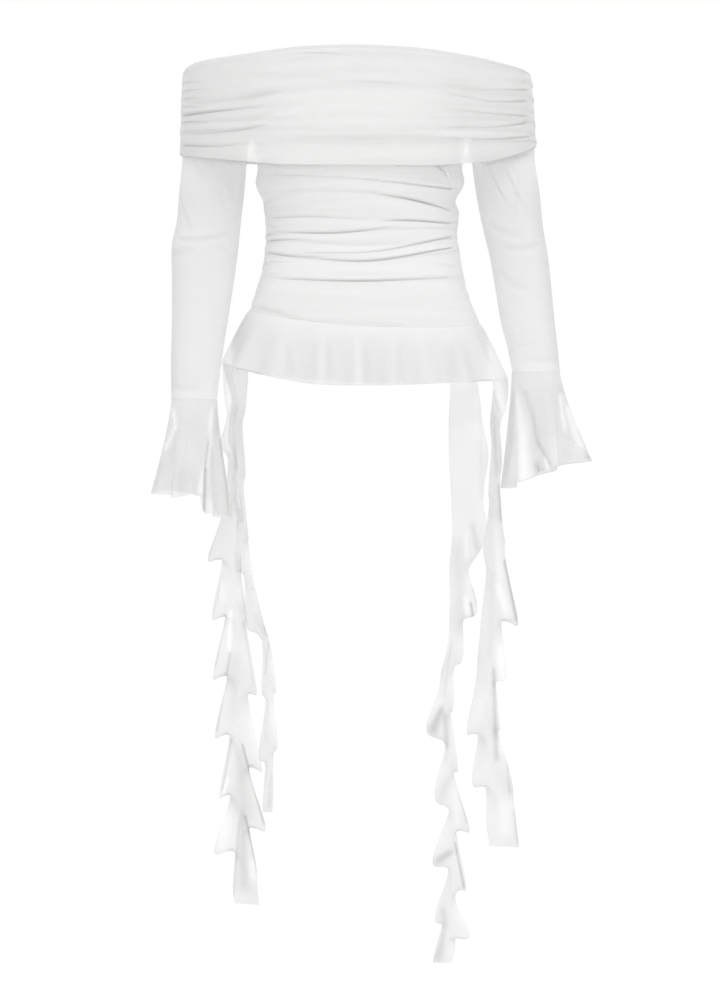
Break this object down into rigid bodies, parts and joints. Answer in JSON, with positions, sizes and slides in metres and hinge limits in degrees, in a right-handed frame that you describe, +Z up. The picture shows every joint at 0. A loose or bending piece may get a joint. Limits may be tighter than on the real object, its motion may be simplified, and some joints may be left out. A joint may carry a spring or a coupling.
{
  "type": "off-shoulder top",
  "caption": "Sheer white off-shoulder top, worn form: fold-over band, ruched bodice, fluted peplum, long sleeves with flared cuffs and ruffled streamers.",
  "frame": {"origin": "middle of the neckline opening, level with its lowest points on the upper arms, where the wearer holds the garment", "axes": "+Z up, +X to the wearer's left, -Y to the front"},
  "size_m": [0.5724, 0.2601, 1.196],
  "materials": {
    "band_front": "matte sheer white mesh",
    "band_back": "matte sheer white mesh",
    "bodice_front": "matte sheer white mesh",
    "bodice_back": "matte sheer white mesh",
    "sleeve_right": "matte sheer white mesh",
    "sleeve_left": "matte sheer white mesh",
    "cuff_right": "matte sheer white mesh",
    "cuff_left": "matte sheer white mesh",
    "peplum_front": "matte sheer white mesh",
    "peplum_back": "matte sheer white mesh",
    "streamer_right_front": "matte sheer white mesh",
    "streamer_right_back": "matte sheer white mesh",
    "streamer_left_front": "matte sheer white mesh",
    "streamer_left_back": "matte sheer white mesh"
  },
  "bodies": {
    "root": {"band_front": "band_front", "band_back": "band_back", "bodice_front": "bodice_front", "bodice_back": "bodice_back", "sleeve_right": "sleeve_right", "sleeve_left": "sleeve_left", "cuff_right": "cuff_right", "cuff_left": "cuff_left", "peplum_front": "peplum_front", "peplum_back": "peplum_back", "streamer_right_front": "streamer_right_front", "streamer_right_back": "streamer_right_back", "streamer_left_front": "streamer_left_front", "streamer_left_back": "streamer_left_back"}
  },
  "joints": []
}
